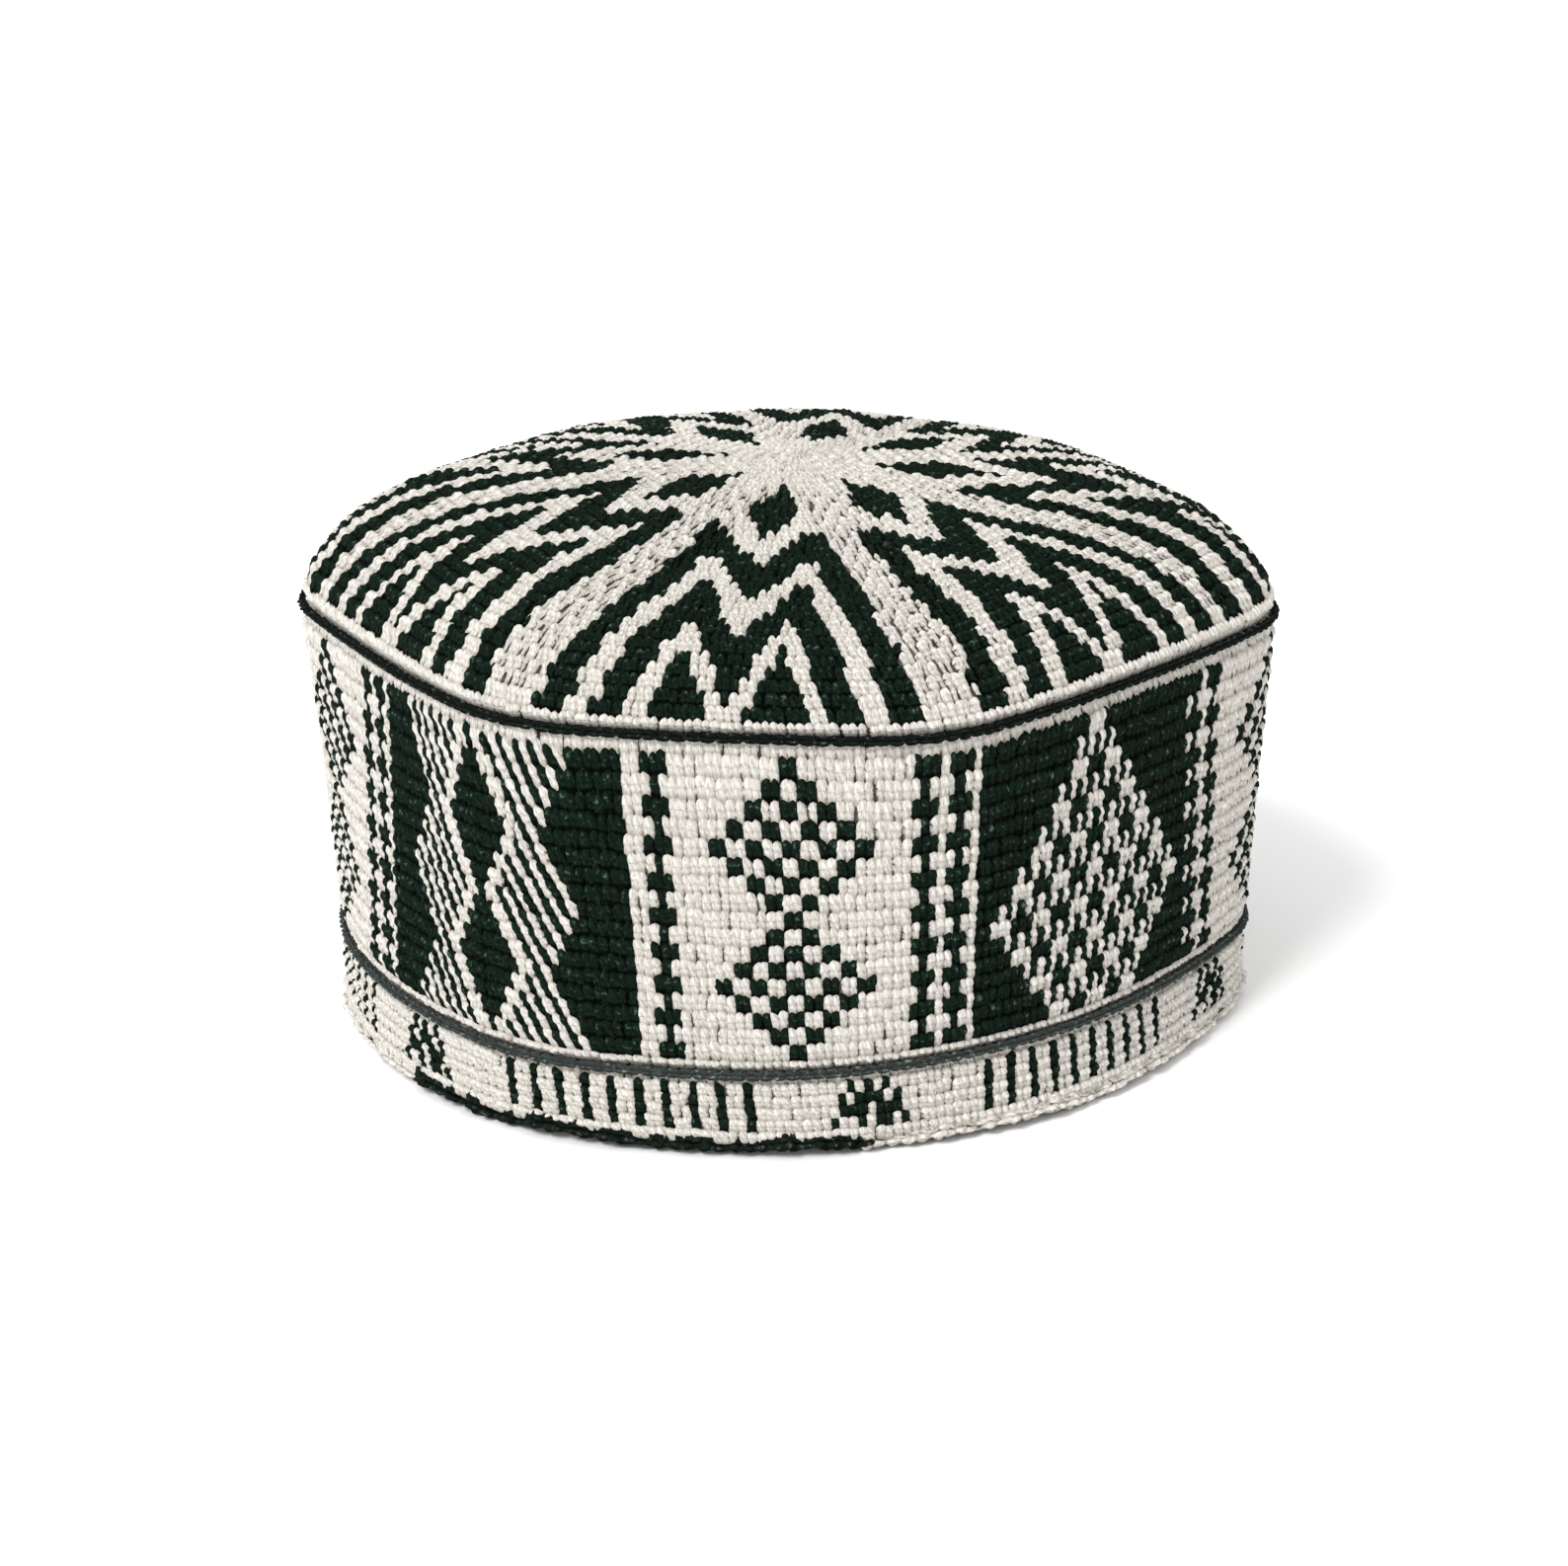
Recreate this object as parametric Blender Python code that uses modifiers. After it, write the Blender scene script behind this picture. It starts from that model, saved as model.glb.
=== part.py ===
"""A crocheted kufi: a domed crown over a flared side band, with two raised cords and a rim.

Lengths are in metres, +Z is up, the front is towards -Y and the hat stands on z = 0.
Angles are in degrees round +Z, 0 at the front and 90 at the wearer's left, which is +X.
"""
from math import cos, pi, radians, sin

import bmesh
import bpy

# Main sizes
RING_RADIUS = 0.100         # mean outer radius at the upper seam
UPPER_SEAM_Z = 0.0885       # where the crown meets the side band
LOWER_SEAM_Z = 0.0185       # where the side band meets the rim
DOME_RISE = 0.0330          # apex above the upper seam
CLOTH = 0.0030              # thickness of the worked cloth
GAP = 0.0003                # clearance between neighbouring pieces
CORD_RADIUS = 0.0014
CORD_SIDES = 8
GROOVE = 0.0016             # how far the cloth draws in behind a cord
WAIST = 0.0004              # how far the side band is drawn in at half height
HEM_HEIGHT = 0.0034
HEM_DEPTH = 0.0040
HEM_EASE = 0.0009           # rounding of the hem's upper edges
STEPS = 72                  # sections round the hat
ROUNDING = 7.0              # degrees over which a corner of the outline is rounded
CENTRE = (-0.0091, 0.0025)  # shares of RING_RADIUS that bring the box's middle over the origin

# The outline, with a row for each corner and each flat between corners.
# Columns: angle, upper seam radius, foot radius (both as shares of RING_RADIUS),
# rise of the lower seam (as a share of CLOTH)
OUTLINE = (
    (-165, 0.970, 0.950, 0.05),
    (-140, 1.020, 0.958, 0.00),
    (-116, 0.985, 0.955, -0.10),
    (-93, 1.076, 0.962, 0.00),
    (-62, 0.940, 0.967, 0.00),
    (-31, 1.036, 0.976, -0.33),
    (-5, 0.986, 0.946, -0.17),
    (16, 1.050, 0.928, 0.25),
    (49, 0.925, 0.938, 0.32),
    (86, 1.094, 1.036, 0.00),
    (107, 1.005, 1.005, -0.05),
    (127, 1.025, 0.972, 0.10),
    (149, 0.968, 0.956, 0.00),
    (171, 1.022, 0.955, -0.08),
)

# The dome's profile from the upper seam to the apex.
# Columns: radius as a share of the upper seam's, then the height as a share of
# DOME_RISE towards the front, towards the sides and towards the back
DOME = (
    (0.984, 0.00, 0.00, 0.00),
    (0.994, 0.05, 0.07, 0.05),
    (0.978, 0.14, 0.22, 0.13),
    (0.935, 0.27, 0.40, 0.28),
    (0.880, 0.39, 0.56, 0.42),
    (0.800, 0.50, 0.70, 0.60),
    (0.700, 0.59, 0.82, 0.77),
    (0.600, 0.67, 0.895, 0.88),
    (0.480, 0.76, 0.945, 0.95),
    (0.350, 0.85, 0.97, 0.98),
    (0.200, 0.93, 0.985, 0.99),
    (0.080, 0.98, 0.995, 0.995),
    (0.000, 1.00, 1.00, 1.00),
)

# The side band's profile. Columns: share of the way up, share of GROOVE drawn in
SIDE = (
    (0.00, 1.0),
    (0.05, 0.35),
    (0.12, 0.0),
    (0.32, 0.0),
    (0.52, 0.0),
    (0.72, 0.0),
    (0.88, 0.0),
    (0.95, 0.35),
    (1.00, 1.0),
)

# The rim band's profile, as the side band's
RIM = (
    (0.00, 0.0),
    (0.45, 0.0),
    (0.80, 0.15),
    (1.00, 1.0),
)

# Materials. Columns: colour, roughness
MATERIALS = {
    "cream_crochet": ((0.80, 0.76, 0.68, 1.0), 0.9),
    "panel_crochet": ((0.42, 0.43, 0.38, 1.0), 0.9),
    "green_cord": ((0.012, 0.022, 0.016, 1.0), 0.85),
    "grey_green_cord": ((0.07, 0.09, 0.085, 1.0), 0.9),
    "striped_crochet": ((0.55, 0.54, 0.48, 1.0), 0.9),
    "hem_yarn": ((0.10, 0.13, 0.11, 1.0), 0.9),
}


def facet_value(angle, column):
    """One column of OUTLINE at any angle: straight across a flat, then up to a corner."""
    rows = OUTLINE
    count = len(rows)
    start = rows[0][0]
    angle = (angle - start) % 360 + start
    for i in range(count):
        a, b = rows[i], rows[(i + 1) % count]
        end = b[0] + (360 if i + 1 == count else 0)
        if a[0] <= angle <= end:
            share = (angle - a[0]) / (end - a[0])
            flat, corner = a, b
            if a[1] > b[1]:
                share, flat, corner = 1 - share, b, a
            return flat[column] + (corner[column] - flat[column]) * share ** 2
    return rows[0][column]


def ring_value(angle, column):
    """One column of OUTLINE at any angle, with its corners rounded."""
    turns = (-2, -1, 0, 1, 2)
    return sum(facet_value(angle + ROUNDING * t / 2, column) for t in turns) / len(turns)


def seam_z(angle):
    """Height of the lower seam."""
    return LOWER_SEAM_Z + ring_value(angle, 3) * CLOTH


def wall_radius(angle, z):
    """Outer radius of the side wall at a height."""
    share = min(max(z / UPPER_SEAM_Z, 0), 1)
    foot, top = ring_value(angle, 2), ring_value(angle, 1)
    return RING_RADIUS * (foot + (top - foot) * share ** 1.05) - WAIST * sin(pi * share)


def at(angle, radius, z):
    """A point from its angle, radius and height."""
    a = radians(angle)
    return (CENTRE[0] * RING_RADIUS + radius * sin(a), CENTRE[1] * RING_RADIUS - radius * cos(a), z)


def dome_height(angle, row):
    """Height share of one dome row, blended between front, sides and back."""
    c, s = cos(radians(angle)), sin(radians(angle))
    ahead = row[1] if c > 0 else row[3]
    return ahead * c * c + row[2] * s * s


def dome_point(row):
    def point(angle):
        lift = GAP / 2 + DOME_RISE * dome_height(angle, row)
        radius = row[0] * RING_RADIUS * ring_value(angle, 1)
        return at(angle, radius, UPPER_SEAM_Z + lift)
    return point


def side_point(row):
    def point(angle):
        low, high = seam_z(angle) + GAP / 2, UPPER_SEAM_Z - GAP / 2
        z = low + (high - low) * row[0]
        return at(angle, wall_radius(angle, z) - GROOVE * row[1], z)
    return point


def rim_point(row):
    def point(angle):
        low, high = HEM_HEIGHT + GAP, seam_z(angle) - GAP / 2
        z = low + (high - low) * row[0]
        return at(angle, wall_radius(angle, z) - GROOVE * row[1], z)
    return point


def hem_point(inset, z):
    def point(angle):
        return at(angle, wall_radius(angle, 0) + GAP - inset, z)
    return point


def cord_path(z_at):
    def point(angle):
        z = z_at(angle)
        return at(angle, wall_radius(angle, z) - GROOVE + GAP * 1.2 + CORD_RADIUS, z)
    return point


def material(name):
    colour, roughness = MATERIALS[name]
    made = bpy.data.materials.new(name)
    made.use_nodes = True
    shader = made.node_tree.nodes["Principled BSDF"]
    shader.inputs["Base Color"].default_value = colour
    shader.inputs["Roughness"].default_value = roughness
    made.diffuse_color = colour
    return made


def finish(name, data, slot, collection):
    made = bpy.data.objects.new(name, data)
    data.materials.append(material(slot))
    collection.objects.link(made)
    return made


def loft(name, sections, slot, collection, closed=False):
    """A surface through one ring of points for each section, with its faces outwards.

    Sections run from the outer lower edge upwards. A section whose points meet
    becomes a single point, and a closed loft joins its last section to its first.
    """
    mesh = bmesh.new()
    angles = [360 * i / STEPS for i in range(STEPS)]
    rings = []
    for section in sections:
        points = [section(a) for a in angles]
        if len({(round(x, 9), round(y, 9)) for x, y, z in points}) == 1:
            rings.append([mesh.verts.new(points[0])] * STEPS)
        else:
            rings.append([mesh.verts.new(p) for p in points])
    pairs = list(zip(rings, rings[1:]))
    if closed:
        pairs.append((rings[-1], rings[0]))
    for low, high in pairs:
        for i in range(STEPS):
            j = (i + 1) % STEPS
            corners = [low[i], low[j], high[j], high[i]]
            if high[i] is high[j]:
                corners.pop()
            mesh.faces.new(corners)
    bmesh.ops.recalc_face_normals(mesh, faces=mesh.faces)
    data = bpy.data.meshes.new(name)
    mesh.to_mesh(data)
    mesh.free()
    return finish(name, data, slot, collection)


def cloth(made):
    """Gives a lofted surface the thickness of the cloth, inwards."""
    solid = made.modifiers.new("Cloth", "SOLIDIFY")
    solid.thickness = CLOTH
    solid.offset = -1
    solid.use_even_offset = True
    return made


def cord(name, path, slot, collection):
    """A round cord that runs once round the hat."""
    data = bpy.data.curves.new(name, "CURVE")
    data.dimensions = "3D"
    data.twist_mode = "Z_UP"
    line = data.splines.new("POLY")
    line.points.add(STEPS - 1)
    for i, point in enumerate(line.points):
        point.co = (*path(360 * i / STEPS), 1)
    line.use_cyclic_u = True
    data.bevel_depth = CORD_RADIUS
    data.bevel_resolution = (CORD_SIDES - 4) // 2
    return finish(name, data, slot, collection)


def hem_sections():
    """The hem's cross-section: flat below, eased above."""
    corners = (
        (0.0, 0.0),
        (0.0, HEM_HEIGHT - HEM_EASE),
        (HEM_EASE, HEM_HEIGHT),
        (HEM_DEPTH - HEM_EASE, HEM_HEIGHT),
        (HEM_DEPTH, HEM_HEIGHT - HEM_EASE),
        (HEM_DEPTH, 0.0),
    )
    return [hem_point(inset, z) for inset, z in corners]


def main():
    for old in list(bpy.data.objects):
        bpy.data.objects.remove(old)
    hat = bpy.data.collections.new("kufi")
    bpy.context.scene.collection.children.link(hat)
    cloth(loft("crown", [dome_point(row) for row in DOME], "cream_crochet", hat))
    cloth(loft("side_band", [side_point(row) for row in SIDE], "panel_crochet", hat))
    cloth(loft("lower_band", [rim_point(row) for row in RIM], "striped_crochet", hat))
    cord("top_cord", cord_path(lambda angle: UPPER_SEAM_Z), "green_cord", hat)
    cord("lower_cord", cord_path(seam_z), "grey_green_cord", hat)
    loft("hem_edging", hem_sections(), "hem_yarn", hat, closed=True)


main()
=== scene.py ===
"""The looks of the crocheted kufi: every stitch, the cords, the hem, the stage and the camera.

Lengths are in metres, +Z is up, the front of the hat is towards -Y. Angles are in degrees
round +Z, 0 at the front and 90 towards +X.
"""

from math import ceil, cos, pi, radians, sin

import bpy
import numpy as np
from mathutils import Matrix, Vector


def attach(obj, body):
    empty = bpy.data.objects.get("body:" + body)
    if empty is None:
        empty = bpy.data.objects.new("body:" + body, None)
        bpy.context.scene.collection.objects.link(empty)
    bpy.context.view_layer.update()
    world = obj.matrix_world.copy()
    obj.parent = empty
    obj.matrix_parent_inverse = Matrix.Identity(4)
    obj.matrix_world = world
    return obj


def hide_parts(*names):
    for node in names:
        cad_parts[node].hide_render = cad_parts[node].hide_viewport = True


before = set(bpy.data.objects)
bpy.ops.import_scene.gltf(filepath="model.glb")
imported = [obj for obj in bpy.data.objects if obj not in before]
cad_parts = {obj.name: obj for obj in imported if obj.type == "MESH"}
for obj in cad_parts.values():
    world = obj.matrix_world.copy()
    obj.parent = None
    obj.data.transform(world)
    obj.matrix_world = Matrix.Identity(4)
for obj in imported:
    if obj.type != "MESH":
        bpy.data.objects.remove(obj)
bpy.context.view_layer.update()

bl_info = {
    "name": "Crocheted kufi",
    "version": (1, 0, 0),
    "blender": (4, 5, 0),
    "location": "3D View > Sidebar > Kufi",
    "description": "Works the hat stitch by stitch over its packed solids",
    "category": "Object",
}

# The hat's form, as its solids have it
RING_RADIUS = 0.100         # mean outer radius at the upper seam
UPPER_SEAM_Z = 0.0885
LOWER_SEAM_Z = 0.0185
DOME_RISE = 0.0330
CLOTH = 0.0030              # thickness of the worked cloth
GROOVE = 0.0016             # how far the cloth draws in behind a cord
WAIST = 0.0004              # how far the side is drawn in at half height
FLARE = 1.05                # power by which the side widens towards the top
HEM_HEIGHT = 0.0034
ROUNDING = 7.0              # degrees over which a corner of the outline is rounded
CENTRE = (-0.00091, 0.00025)

# Columns: angle, upper seam radius and foot radius (shares of RING_RADIUS), rise of the
# lower seam (share of CLOTH)
OUTLINE = (
    (-165, 0.970, 0.950, 0.05),
    (-140, 1.020, 0.958, 0.00),
    (-116, 0.985, 0.955, -0.10),
    (-93, 1.076, 0.962, 0.00),
    (-62, 0.940, 0.967, 0.00),
    (-31, 1.036, 0.976, -0.33),
    (-5, 0.986, 0.946, -0.17),
    (16, 1.050, 0.928, 0.25),
    (49, 0.925, 0.938, 0.32),
    (86, 1.094, 1.036, 0.00),
    (107, 1.005, 1.005, -0.05),
    (127, 1.025, 0.972, 0.10),
    (149, 0.968, 0.956, 0.00),
    (171, 1.022, 0.955, -0.08),
)

# Columns: radius share, then height shares towards the front, the sides and the back
DOME = (
    (0.984, 0.00, 0.00, 0.00),
    (0.994, 0.05, 0.07, 0.05),
    (0.978, 0.14, 0.22, 0.13),
    (0.935, 0.27, 0.40, 0.28),
    (0.880, 0.39, 0.56, 0.42),
    (0.800, 0.50, 0.70, 0.60),
    (0.700, 0.59, 0.82, 0.77),
    (0.600, 0.67, 0.895, 0.88),
    (0.480, 0.76, 0.945, 0.95),
    (0.350, 0.85, 0.97, 0.98),
    (0.200, 0.93, 0.985, 0.99),
    (0.080, 0.98, 0.995, 0.995),
    (0.000, 1.00, 1.00, 1.00),
)

# The sheets that stitches are laid on
ANGLES = np.linspace(-180, 180, 721)
WALL_LEVELS = 61            # points up a wall
DOME_LEVELS = 161           # points from the upper seam to the crown's middle
DOME_BULGE = 4              # of these, the first ones still run outwards
TUBE_POINTS = 49            # points round a cord
GROOVE_REACH = 0.0045       # distance from a seam at which the cloth starts to draw in
PUCKER = 0.0008             # height of the small pucker where the crown's rounds close
PUCKER_RADIUS = 0.006

# Stitch counts
ROUND = 380                 # stitches in one round at the seams
SIDE_ROWS = 19
CROWN_ROWS = 34
RIM_REPEAT = 54             # stitches from one figure of the rim to the next
RIM_ROUND = 6 * RIM_REPEAT
RIM_ROWS = 6
RIM_FIGURE = 5.3            # angle at which the front figure of the rim starts
FIRST_PANEL = -16.5         # angle at which the front cream panel starts
SIDE_SHIFT = 0.07           # degrees by which each round of the side starts after the one above
RIM_SHIFT = 0.15            # the same for the rim

# The side's rows, as shares of the way down. They are taller towards the top
TOP_ROW = 0.062             # height of the plain top row
ROW_HEIGHT = 0.05           # height of a row near the foot
STRETCH = 0.056             # what the upper rows take on top of that, all together
STRETCH_ROWS = 3            # rows over which that fades

# The crown's sectors
SECTORS = 8
SECTOR_CENTRE = -6.5        # angle of the middle of the front sector
FRONT_SPREAD = 9.0          # degrees by which the seam end of a side sector is turned back
SPREAD_END = 0.6            # share of the way in at which that turn has faded
SPREAD_SKEW = 0.35          # how much more of it falls to the front than to the back
ROUNDS_SHIFT = (0.004, -0.006)  # where the rounds' middle lies from the dome's own
SHIFT_START = 0.93          # radius share inside which the rounds are shifted
SHIFT_SPAN = 0.45           # radius share over which they reach the whole shift

CREAM, GREEN = 0, 1


def facet_values(angle, column):
    """One column of OUTLINE at many angles: straight across a flat, then up to a corner."""
    rows = list(OUTLINE) + [(OUTLINE[0][0] + 360, *OUTLINE[0][1:])]
    start = rows[0][0]
    angle = (np.asarray(angle, float) - start) % 360 + start
    value = np.zeros_like(angle)
    for before, after in zip(rows, rows[1:]):
        here = (angle >= before[0]) & (angle <= after[0])
        share = (angle[here] - before[0]) / (after[0] - before[0])
        flat, corner = before, after
        if before[1] > after[1]:
            share, flat, corner = 1 - share, after, before
        value[here] = flat[column] + (corner[column] - flat[column]) * share ** 2
    return value


def ring_values(angle, column):
    """One column of OUTLINE at many angles, with its corners rounded."""
    turns = (-2, -1, 0, 1, 2)
    return sum(facet_values(angle + ROUNDING * t / 2, column) for t in turns) / len(turns)


def wall_radii(angle, z):
    """Outer radius of the side wall at many angles and heights."""
    share = np.clip(z / UPPER_SEAM_Z, 0, 1)
    foot, top = ring_values(angle, 2), ring_values(angle, 1)
    return RING_RADIUS * (foot + (top - foot) * share ** FLARE) - WAIST * np.sin(pi * share)


def lower_seam():
    """Heights of the lower seam, one for each of ANGLES."""
    return LOWER_SEAM_Z + ring_values(ANGLES, 3) * CLOTH


def places(angle, radius, z):
    """Points from angles, radii and heights."""
    a = np.radians(angle)
    x, y = CENTRE[0] + radius * np.sin(a), CENTRE[1] - radius * np.cos(a)
    return np.stack([x, y, np.broadcast_to(z, x.shape)], -1)


def smoothed(table, samples):
    """A table's columns resampled along its length, as a smooth curve through its rows."""
    rows = np.array(table, float)
    rise = np.diff(rows[:, 1:].mean(1)) * DOME_RISE / RING_RADIUS
    length = np.concatenate([[0], np.cumsum(np.hypot(np.diff(rows[:, 0]), rise))])
    slope = np.gradient(rows, length, axis=0)
    at = np.linspace(0, length[-1], samples)
    k = np.clip(np.searchsorted(length, at, side="right") - 1, 0, len(length) - 2)
    span = (length[k + 1] - length[k])[:, None]
    t = (at - length[k])[:, None] / span
    low, high = rows[k], rows[k + 1]
    leaving, arriving = slope[k] * span, slope[k + 1] * span
    square = (3 * (high - low) - 2 * leaving - arriving) * t ** 2
    return low + leaving * t + square + (2 * (low - high) + leaving + arriving) * t ** 3


class Sheet:
    """A sheet of the hat, found by angle, by share of the way up and by height over it."""

    def __init__(self, grid):
        self.grid = grid
        self.turns, self.levels = grid.shape[0] - 1, grid.shape[1] - 1
        closed = np.concatenate([grid[-2:-1], grid, grid[1:2]])
        along = (closed[2:] - closed[:-2]) / 2
        up = np.gradient(grid, axis=1)
        normal = np.cross(along, up)
        size = np.linalg.norm(normal, axis=-1, keepdims=True)
        self.normal = normal / np.maximum(size, 1e-12)
        # Where all angles meet in one point the sheet faces up
        bare = size[..., 0] < 1e-9
        self.normal[bare] = (0, 0, 1)

    def at(self, angle, share, lift=0.0):
        """Points of the sheet, raised by lift along its normals."""
        x = (np.asarray(angle, float) + 180) % 360 / 360 * self.turns
        y = np.clip(share, 0, 1) * self.levels
        i, j = np.minimum(x.astype(int), self.turns - 1), np.minimum(y.astype(int), self.levels - 1)
        f, g = (x - i)[..., None], (y - j)[..., None]

        def mixed(grid):
            low = grid[i, j] * (1 - f) + grid[i + 1, j] * f
            high = grid[i, j + 1] * (1 - f) + grid[i + 1, j + 1] * f
            return low * (1 - g) + high * g

        normal = mixed(self.normal)
        normal /= np.linalg.norm(normal, axis=-1, keepdims=True)
        return mixed(self.grid) + normal * np.asarray(lift)[..., None]


def groove(z, seam):
    """How far the cloth draws in behind a cord at a seam."""
    return GROOVE * np.clip(1 - np.abs(z - seam) / GROOVE_REACH, 0, 1) ** 1.5


def wall_sheet(low, high, seams):
    """The side wall between two heights, drawn in at the seams."""
    share = np.linspace(0, 1, WALL_LEVELS)
    z = low[:, None] + (high - low)[:, None] * share
    angle = np.broadcast_to(ANGLES[:, None], z.shape)
    radius = wall_radii(angle, z)
    for seam in seams:
        radius = radius - groove(z, seam[:, None])
    return Sheet(places(angle, radius, z))


def crown_sheet():
    """The dome's surface by sector angle and by round, from the seam to the middle."""
    profile = smoothed(DOME, DOME_LEVELS)
    share, ahead, beside, behind = profile.T[:, None, :]
    level = np.linspace(0, 1, len(profile))[None, :]
    # The front sectors take more of the seam than the back ones
    t = np.radians(ANGLES[:, None] - SECTOR_CENTRE)
    spread = FRONT_SPREAD * np.clip(1 - level / SPREAD_END, 0, 1)
    angle = ANGLES[:, None] + spread * np.sin(t) * (1 + SPREAD_SKEW * np.cos(t))
    radius = share * RING_RADIUS * ring_values(angle, 1)
    a = np.radians(angle)
    x, y = radius * np.sin(a), -radius * np.cos(a)
    # The rounds lie a little forward of the dome's own middle
    weight = np.clip((SHIFT_START - share) / SHIFT_SPAN, 0, 1)
    weight = weight * weight * (3 - 2 * weight)
    x, y = x + ROUNDS_SHIFT[0] * weight, y + ROUNDS_SHIFT[1] * weight
    angle = np.degrees(np.arctan2(x, -y))
    out = np.hypot(x, y) / (RING_RADIUS * ring_values(angle, 1))
    inner = profile[DOME_BULGE:][::-1]
    heights = []
    for column, own in ((1, ahead), (2, beside), (3, behind)):
        shifted = np.interp(out, inner[:, 0], inner[:, column])
        heights.append(np.where(weight > 0, shifted, own))
    c, s = np.cos(np.radians(angle)), np.sin(np.radians(angle))
    height = np.where(c > 0, heights[0], heights[2]) * c * c + heights[1] * s * s
    pucker = PUCKER * np.exp(-(share * RING_RADIUS / PUCKER_RADIUS) ** 2)
    z = UPPER_SEAM_Z + DOME_RISE * height + pucker
    return Sheet(np.stack([CENTRE[0] + x, CENTRE[1] + y, z], -1))


def tube_sheet(centre_radius, z, across):
    """A round tube along the hat, from its inner side down, round outside and up again."""
    turn = np.linspace(-pi, pi, TUBE_POINTS)
    across = np.broadcast_to(across, z.shape)[:, None]
    radius = centre_radius[:, None] + across * np.cos(turn)
    height = z[:, None] + across * np.sin(turn)
    angle = np.broadcast_to(ANGLES[:, None], radius.shape)
    return Sheet(places(angle, radius, height))


# The charts. Each gives the colour of stitch t of row r, as a maker reads it

PANEL_MIDDLE = 18           # middle stitch of a green panel
DIAMOND_MIDDLE = 8          # stitch at which the first check of a small diamond starts


def wave(r):
    """0 at the widest row of a figure and 4 at its narrowest."""
    return abs((r - 1) % 8 - 4)


def check_column(r, t):
    """Three green on odd rows and the middle one on even rows."""
    return GREEN if r % 2 or t % 4 == 1 else CREAM


def rail(r, t):
    """Two check columns side by side."""
    if r % 2:
        return CREAM if t % 4 == 3 else GREEN
    return GREEN if t % 4 == 1 else CREAM


def diamonds(r, t):
    """Small checks, two stitches wide, heaped into two diamonds."""
    count = 5 - wave(r)
    place = t - DIAMOND_MIDDLE + 2 * (count - 1)
    return GREEN if 0 <= place < 4 * count and place % 4 < 2 else CREAM


def cream_panel(ends):
    """The chart of a cream panel from the pieces that stand side by side in it."""
    parts = {
        "plain": lambda r, t: CREAM,
        "column": check_column,
        "rail": rail,
        "diamonds": diamonds,
    }
    starts = np.cumsum([0] + [width for name, width in ends])

    def chart(r, t):
        k = int(np.searchsorted(starts, t, side="right")) - 1
        return parts[ends[k][0]](r, t - int(starts[k]))
    return chart


def in_hatching(r, t):
    """Whether a stitch of an hourglass lies in its slanted hatching."""
    return 6 - wave(r) < abs(t - PANEL_MIDDLE) <= 8 + wave(r)


def hourglass(r, t):
    """A green field with two green diamonds outlined in cream and hatched either side."""
    away, narrow = abs(t - PANEL_MIDDLE), wave(r)
    if in_hatching(r, t):
        return CREAM if (away + narrow) % 2 == 0 else GREEN
    return CREAM if 4 - narrow < away <= 6 - narrow else GREEN


def lattice(r, t):
    """A green field with one great diamond of cream trelliswork."""
    t -= PANEL_MIDDLE
    if abs(t) > 1.5 * min(r, 22 - r):
        return GREEN
    if r % 2:
        return CREAM if (t + 3 * ((r - 1) // 2) + 1) % 6 < 3 else GREEN
    return CREAM if (t - r // 2) % 2 == 0 else GREEN


OPENING = (("plain", 2), ("column", 3), ("plain", 4), ("diamonds", 18), ("plain", 4), ("rail", 8))
CLOSING = OPENING[::-1]
# The panels in order from the front one. Columns: stitches, chart
PANELS = (
    (39, cream_panel(OPENING)),
    (37, lattice),
    (39, cream_panel(CLOSING)),
    (37, hourglass),
    (39, cream_panel(OPENING)),
    (37, lattice),
    (39, cream_panel(CLOSING)),
    (37, hourglass),
    (39, cream_panel(OPENING)),
    (37, hourglass),
)


def side_colour(r, i):
    """Colour of a side band stitch, and whether it is one of the slanted hatching."""
    if 1 <= r < SIDE_ROWS - 1:
        for width, chart in PANELS:
            if i < width:
                return chart(r, i), int(chart is hourglass and in_hatching(r, i))
            i -= width
    return CREAM, 0


# The crown's figure in one sector: nested bands with two peaks, and a diamond over them.
# Columns: round of the peaks, round of the valley between them, stitches from a peak to the
# foot, stitches from the sector's middle to a peak
BAND_EDGES = (
    (6.8, -2.0, 4.2, 5.7),
    (9.8, 1.7, 6.7, 5.7),
    (15.6, 7.2, 10.1, 6.0),
    (18.8, 12.3, 13.2, 6.1),
    (22.9, 17.6, 16.9, 6.3),
)
BAND_LEAN = 0.16            # stitches by which the bands lean with each round
BAND_SHIFT = 0.2            # stitches by which they stand to one side
DIAMOND_ROUND = 25.0        # round of the diamond's middle
DIAMOND_SHIFT = 1.4         # stitches by which the diamond stands to one side
DIAMOND_LEAN = 0.3
DIAMOND_WIDE, DIAMOND_TALL = 3.5, 4.0   # half the diamond's stitches and rounds


def crown_colour(r, t):
    """Colour of a crown stitch t from its sector's middle, in round r from the seam."""
    if r < 1:
        return CREAM
    r += 0.5
    # The figure leans a little as it climbs
    t += BAND_LEAN * max(r - BAND_EDGES[0][0], 0) - BAND_SHIFT
    over = r - DIAMOND_ROUND
    aside = t - DIAMOND_SHIFT - DIAMOND_LEAN * over
    if abs(aside) / DIAMOND_WIDE + abs(over) / DIAMOND_TALL <= 1:
        return GREEN
    passed = 0
    for peak, valley, foot, out in BAND_EDGES:
        away = abs(t) - out
        if away < 0:
            edge = peak + (peak - valley) * away / out
        else:
            edge = peak - (peak - 1) * away / foot
        passed += r > edge
    return GREEN if passed % 2 == 0 and passed < len(BAND_EDGES) else CREAM


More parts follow.
